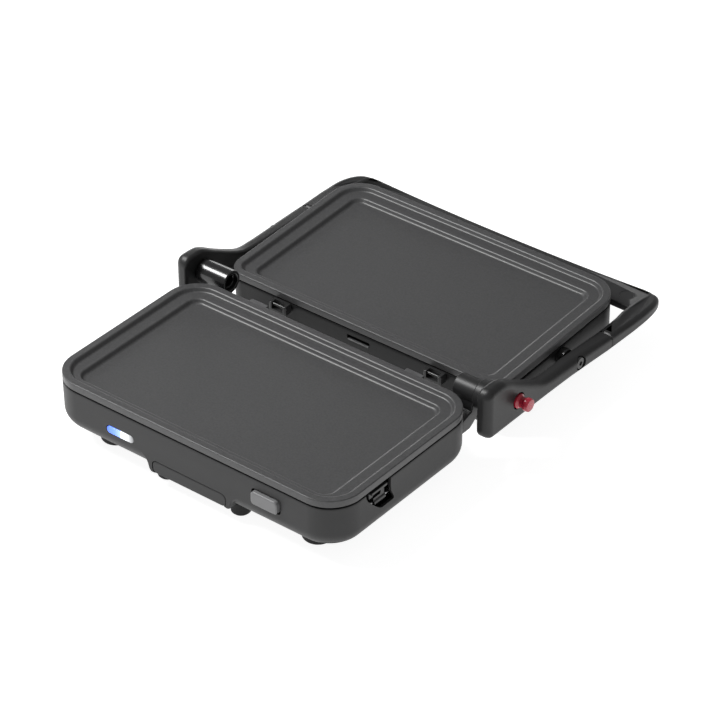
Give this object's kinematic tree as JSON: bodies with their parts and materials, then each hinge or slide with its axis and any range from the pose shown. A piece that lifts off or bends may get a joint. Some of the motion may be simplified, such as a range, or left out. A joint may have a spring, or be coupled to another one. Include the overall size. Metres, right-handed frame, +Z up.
{
  "type": "panini press",
  "caption": "Contact grill opened flat: base and lid with lift-off griddle plates, hinged arms with a U-shaped grip, drip tray and push buttons.",
  "frame": {"origin": "middle of the footprint on the resting surface, opened flat", "axes": "+X to the right along the front, +Y from the base to the opened lid, +Z up"},
  "size_m": [0.348, 0.4318, 0.0805],
  "materials": {
    "housing": "satin moulded black plastic, fine grain",
    "nonstick_plate": "cast aluminium with dark grey non-stick coating",
    "steel": "plain steel",
    "reflector": "bright rolled sheet",
    "ceramic": "unglazed ceramic, modelled as matte",
    "board": "green circuit board",
    "rubber": "black rubber",
    "blue_lens": "lit blue light pipe",
    "clear_lens": "lit white light pipe",
    "grey_button": "mid grey plastic",
    "red_button": "glossy dark red plastic",
    "black_trim": "glossy black plastic",
    "arm": "smooth satin black plastic"
  },
  "bodies": {
    "base": {"base_shell": "housing", "base_bottom_cover_left": "housing", "base_bottom_cover_right": "housing", "cover_screw_left_1": "steel", "cover_screw_left_2": "steel", "cover_screw_right_1": "steel", "cover_screw_right_2": "steel", "lower_heating_element": "steel", "lower_reflector": "reflector", "lower_thermostat": "ceramic", "thermal_fuse": "steel", "terminal_block": "ceramic", "cord_inlet_gland": "rubber", "tray_guide": "housing", "indicator_board": "board", "power_light_lens": "blue_lens", "ready_light_lens": "clear_lens", "storage_latch_pin": "steel", "lower_plate_catch_left": "black_trim", "lower_plate_catch_right": "black_trim", "hinge_bracket_left": "black_trim", "hinge_bracket_right": "black_trim", "foot_front_left": "rubber", "foot_front_right": "rubber", "foot_rear_left": "rubber", "foot_rear_right": "rubber", "foot_tray_left": "rubber", "foot_tray_right": "rubber"},
    "lower_plate": {"lower_grill_plate": "nonstick_plate"},
    "tray": {"drip_tray": "housing"},
    "lower_button": {"lower_plate_release_button": "grey_button"},
    "latch": {"storage_latch": "black_trim"},
    "arms": {"left_arm": "arm", "right_arm": "arm", "hinge_sleeve_left": "steel", "hinge_sleeve_right": "steel", "lid_pivot_pin_left": "black_trim", "lid_pivot_pin_right": "black_trim", "grip_screw_left": "steel", "grip_screw_right": "steel", "handle_grip": "arm"},
    "release_knob": {"hinge_release_button": "red_button"},
    "lid": {"lid_shell": "housing", "lid_cover": "housing", "lid_cover_screw_1": "steel", "lid_cover_screw_2": "steel", "upper_heating_element": "steel", "upper_reflector": "reflector", "upper_thermostat": "ceramic", "upper_plate_catch_left": "black_trim", "upper_plate_catch_right": "black_trim", "lid_pivot_spacer_left": "black_trim", "lid_pivot_spacer_right": "black_trim", "lid_pad_near_left": "rubber", "lid_pad_near_right": "rubber", "lid_pad_far_left": "rubber", "lid_pad_far_right": "rubber"},
    "upper_plate": {"upper_grill_plate": "nonstick_plate"},
    "upper_button": {"upper_plate_release_button": "grey_button"}
  },
  "joints": [
    {"name": "arm_hinge", "type": "hinge", "parent": "base", "child": "arms", "pos_m": [0, -0.01605, 0.061], "axis": [1, 0, 0], "range_deg": [0, 177.4]},
    {"name": "lid_float", "type": "hinge", "parent": "arms", "child": "lid", "pos_m": [0, 0.09045, 0.0425], "axis": [1, 0, 0], "range_deg": [-2.5, 2.5]},
    {"name": "drip_tray_slide", "type": "slide", "parent": "base", "child": "tray", "axis": [0, -1, 0], "range_m": [0, 0.11]},
    {"name": "lower_button_push", "type": "slide", "parent": "base", "child": "lower_button", "axis": [0, 1, 0], "range_m": [0, 0.0025], "stiffness_N_per_m": 400, "springref_m": -0.001},
    {"name": "storage_latch_swing", "type": "hinge", "parent": "base", "child": "latch", "pos_m": [0.1404, -0.15755, 0.0393], "axis": [0, 1, 0], "range_deg": [0, 70]},
    {"name": "lower_plate_lift", "type": "slide", "parent": "base", "child": "lower_plate", "axis": [0, 0, -1], "range_m": [-0.03, 0]},
    {"name": "hinge_release_push", "type": "slide", "parent": "arms", "child": "release_knob", "axis": [-1, 0, 0], "range_m": [0, 0.003], "stiffness_N_per_m": 400, "springref_m": -0.001},
    {"name": "upper_plate_lift", "type": "slide", "parent": "lid", "child": "upper_plate", "axis": [0, 0.044, -0.999], "range_m": [-0.03, 0]},
    {"name": "upper_button_push", "type": "slide", "parent": "lid", "child": "upper_button", "axis": [0, -0.999, -0.044], "range_m": [0, 0.0025], "stiffness_N_per_m": 400, "springref_m": -0.001}
  ]
}
